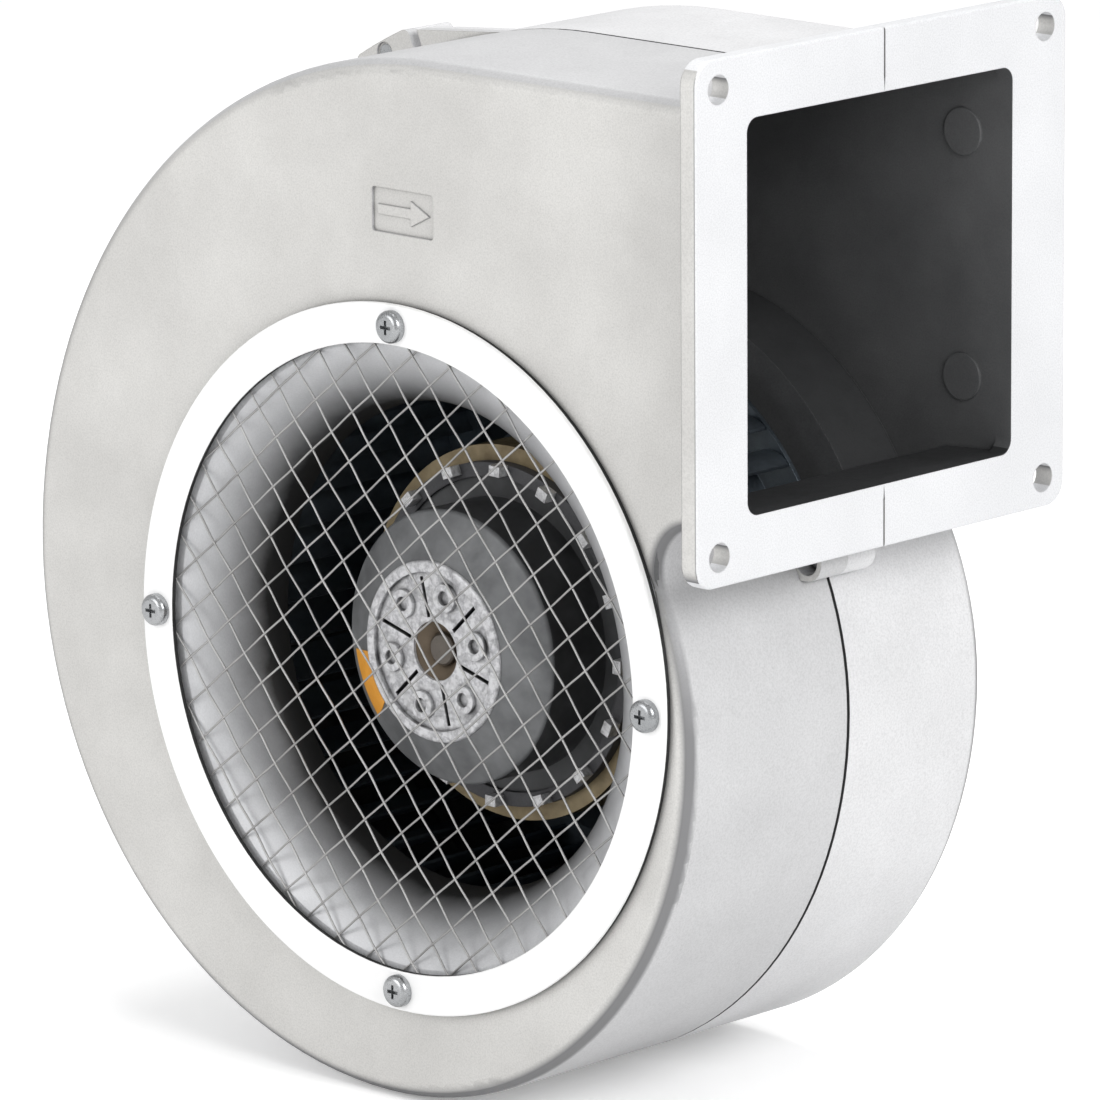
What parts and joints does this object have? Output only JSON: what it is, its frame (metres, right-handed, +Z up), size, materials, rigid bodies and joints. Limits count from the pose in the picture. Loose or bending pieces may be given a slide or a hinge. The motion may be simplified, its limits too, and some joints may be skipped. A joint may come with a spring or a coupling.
{
  "type": "combustion fan",
  "caption": "Combustion air blower: cast aluminium scroll with guarded round inlet, square bolted outlet flange and a forward-curved impeller on an external-rotor motor.",
  "frame": {"origin": "centre of the outlet flange's bolt pattern, on the flange face", "axes": "+X out of the outlet, +Z up, fan axis parallel to Y with the inlet facing -Y"},
  "size_m": [0.2367, 0.1468, 0.2685],
  "materials": {
    "cast_casing": "sand-blasted die casting",
    "ring_enamel": "white enamel",
    "gasket_rubber": "matt",
    "guard_wire": "bright wire",
    "pressed_aluminium": "pressed and brushed",
    "screw_steel": "zinc plated",
    "cast_motor": "die casting",
    "lamination_steel": "stacked sheet",
    "copper_winding": "enamelled copper",
    "insulator_plastic": "natural",
    "bearing_steel": "ground and polished",
    "cage_steel": "pressed",
    "spring_steel": "blued",
    "black_plastic": "moulded",
    "cable_sheath": "soft sheath",
    "black_rubber": "matt",
    "capacitor_case": "moulded",
    "zinc_sheet": "zinc plated",
    "shaft_steel": "ground",
    "cast_hub": "bright die casting",
    "bronze_bush": "oiled",
    "painted_bell": "satin grey",
    "varnished_laminations": "varnished",
    "cast_cage": "die casting",
    "label_film": "orange film",
    "galvanised_sheet": "galvanised",
    "rivet_aluminium": "bright"
  },
  "bodies": {
    "housing": {"front_housing": "cast_casing", "rear_housing": "cast_casing", "inlet_ring": "ring_enamel", "inlet_gasket": "gasket_rubber", "guard_mesh": "guard_wire", "inlet_cone": "pressed_aluminium", "ring_screws": "screw_steel", "housing_screws": "screw_steel", "notch_screw": "screw_steel", "motor_flange": "cast_motor", "motor_screws": "screw_steel", "stator_core": "lamination_steel", "stator_coils": "copper_winding", "winding_insulators": "insulator_plastic", "front_bearing_outer_race": "bearing_steel", "rear_bearing_outer_race": "bearing_steel", "preload_spring": "spring_steel", "bearing_cap": "black_plastic", "motor_cable": "cable_sheath", "cable_grommet": "black_rubber", "run_capacitor": "capacitor_case", "capacitor_bracket": "zinc_sheet", "bracket_screws": "screw_steel"},
    "rotor": {"shaft": "shaft_steel", "shaft_circlip": "spring_steel", "rotor_hub": "cast_hub", "hub_bush": "bronze_bush", "rotor_bell": "painted_bell", "rotor_core": "varnished_laminations", "rotor_end_ring": "cast_cage", "rotor_rear_ring": "cast_cage", "rotor_label": "label_film", "impeller_back_plate": "galvanised_sheet", "impeller_blades": "galvanised_sheet", "impeller_shroud_ring": "galvanised_sheet", "impeller_rivets": "rivet_aluminium", "front_bearing_inner_race": "bearing_steel", "rear_bearing_inner_race": "bearing_steel"},
    "front_ball_set": {"front_bearing_balls": "bearing_steel", "front_bearing_cage": "cage_steel"},
    "rear_ball_set": {"rear_bearing_balls": "bearing_steel", "rear_bearing_cage": "cage_steel"}
  },
  "joints": [
    {"name": "rotor_spin", "type": "hinge", "parent": "housing", "child": "rotor", "pos_m": [-0.1036, 0, -0.0959], "axis": [0, 1, 0], "continuous": true},
    {"name": "front_balls_spin", "type": "hinge", "parent": "housing", "child": "front_ball_set", "pos_m": [-0.1036, 0, -0.0959], "axis": [0, 1, 0], "continuous": true},
    {"name": "rear_balls_spin", "type": "hinge", "parent": "housing", "child": "rear_ball_set", "pos_m": [-0.1036, 0, -0.0959], "axis": [0, 1, 0], "continuous": true}
  ],
  "couplings": [
    {"joint": "front_balls_spin", "follows": "rotor_spin", "ratio": 0.368},
    {"joint": "rear_balls_spin", "follows": "rotor_spin", "ratio": 0.368}
  ]
}
